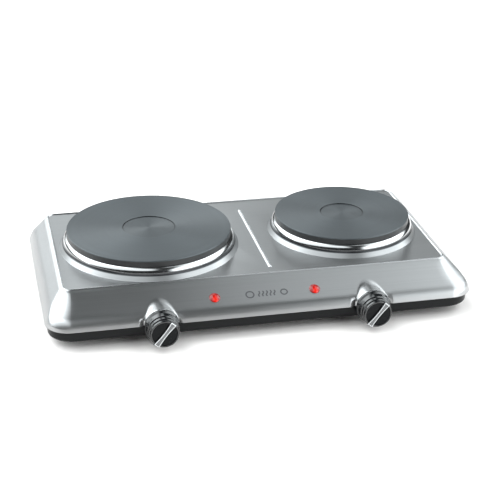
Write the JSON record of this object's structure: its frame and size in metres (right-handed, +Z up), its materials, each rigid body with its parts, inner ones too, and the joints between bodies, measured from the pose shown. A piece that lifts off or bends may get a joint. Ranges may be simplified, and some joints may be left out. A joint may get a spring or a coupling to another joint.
{
  "type": "double hot plate",
  "caption": "Table-top electric hot plate: brushed steel case on a black pan, a large and a small round cast-iron plate, front knobs and red indicator lamps.",
  "frame": {"origin": "middle of the whole object's footprint, on the surface that it stands on", "axes": "+X to the right along the width, +Y to the rear, +Z up; the knobs face -Y"},
  "size_m": [0.4688, 0.2922, 0.0703],
  "materials": {
    "brushed_cover": "brushed along the width, satin",
    "black_pan": "semi-gloss black enamel",
    "plate_iron": "turned, oxide-coated, satin",
    "bright_ring": "bright pressed stainless steel",
    "element_wire": "oxidised resistance wire",
    "white_ceramic": "matt steatite",
    "zinc_steel": "zinc plated",
    "brass_terminal": "plain",
    "knob_gloss": "gloss black",
    "pointer_metal": "satin",
    "spring_leaf": "spring bronze",
    "lamp_red": "clear red, faceted inside",
    "lamp_glass": "neon lamp in a clear sleeve",
    "foot_rubber": "matt",
    "block_plastic": "matt",
    "wire_jacket": "heat-resistant silicone jacket"
  },
  "bodies": {
    "case": {"top_cover": "brushed_cover", "base_pan": "black_pan", "large_hot_plate": "plate_iron", "large_spill_ring": "bright_ring", "large_heating_coil": "element_wire", "large_coil_filling": "white_ceramic", "large_terminal_block": "white_ceramic", "large_undercover": "zinc_steel", "large_clamp_bar": "zinc_steel", "large_clamp_stud": "zinc_steel", "large_terminal_blades": "brass_terminal", "small_hot_plate": "plate_iron", "small_spill_ring": "bright_ring", "small_heating_coil": "element_wire", "small_coil_filling": "white_ceramic", "small_terminal_block": "white_ceramic", "small_undercover": "zinc_steel", "small_clamp_bar": "zinc_steel", "small_clamp_stud": "zinc_steel", "small_terminal_blades": "brass_terminal", "left_thermostat_frame": "zinc_steel", "left_thermostat_bush": "brass_terminal", "left_contacts": "brass_terminal", "left_ceramic_base": "white_ceramic", "left_lamp_lens": "lamp_red", "left_lamp_body": "lamp_glass", "right_thermostat_frame": "zinc_steel", "right_thermostat_bush": "brass_terminal", "right_contacts": "brass_terminal", "right_ceramic_base": "white_ceramic", "right_lamp_lens": "lamp_red", "right_lamp_body": "lamp_glass", "front_left_foot": "foot_rubber", "front_right_foot": "foot_rubber", "rear_left_foot": "foot_rubber", "rear_right_foot": "foot_rubber", "clamp_nuts": "zinc_steel", "bush_nuts": "zinc_steel", "lamp_clips": "zinc_steel", "foot_screws": "zinc_steel", "foot_nuts": "zinc_steel", "case_brackets": "zinc_steel", "case_screws": "zinc_steel", "earth_nuts": "zinc_steel", "mains_block": "block_plastic", "block_screws": "brass_terminal", "earth_stud": "brass_terminal", "cord_gland": "foot_rubber", "supply_wires": "wire_jacket", "switched_wires": "wire_jacket"},
    "left_knob": {"left_knob": "knob_gloss", "left_pointer_strip": "pointer_metal", "left_thermostat_shaft": "zinc_steel"},
    "left_spindle_nut": {"left_spindle_nut": "white_ceramic"},
    "left_contact_leaf": {"left_contact_leaf": "spring_leaf"},
    "right_knob": {"right_knob": "knob_gloss", "right_pointer_strip": "pointer_metal", "right_thermostat_shaft": "zinc_steel"},
    "right_spindle_nut": {"right_spindle_nut": "white_ceramic"},
    "right_contact_leaf": {"right_contact_leaf": "spring_leaf"}
  },
  "joints": [
    {"name": "left_knob_turn", "type": "hinge", "parent": "case", "child": "left_knob", "pos_m": [-0.1148, -0.121, 0.0228], "axis": [0, 1, 0], "range_deg": [0, 270]},
    {"name": "left_spindle_slide", "type": "slide", "parent": "case", "child": "left_spindle_nut", "axis": [0, 1, 0], "range_m": [0, 0.001]},
    {"name": "left_contact_flex", "type": "hinge", "parent": "case", "child": "left_contact_leaf", "pos_m": [-0.1248, -0.09665, 0.0228], "axis": [0, 0, 1], "range_deg": [0, 6.5]},
    {"name": "right_knob_turn", "type": "hinge", "parent": "case", "child": "right_knob", "pos_m": [0.1148, -0.121, 0.0228], "axis": [0, 1, 0], "range_deg": [0, 270]},
    {"name": "right_spindle_slide", "type": "slide", "parent": "case", "child": "right_spindle_nut", "axis": [0, 1, 0], "range_m": [0, 0.001]},
    {"name": "right_contact_flex", "type": "hinge", "parent": "case", "child": "right_contact_leaf", "pos_m": [0.1048, -0.09665, 0.0228], "axis": [0, 0, 1], "range_deg": [0, 6.5]}
  ],
  "couplings": [
    {"joint": "left_spindle_slide", "follows": "left_knob_turn", "m_per_rad": 0.00021008},
    {"joint": "left_contact_flex", "follows": "left_knob_turn", "ratio": 0.023704},
    {"joint": "right_spindle_slide", "follows": "right_knob_turn", "m_per_rad": 0.00021008},
    {"joint": "right_contact_flex", "follows": "right_knob_turn", "ratio": 0.023704}
  ]
}
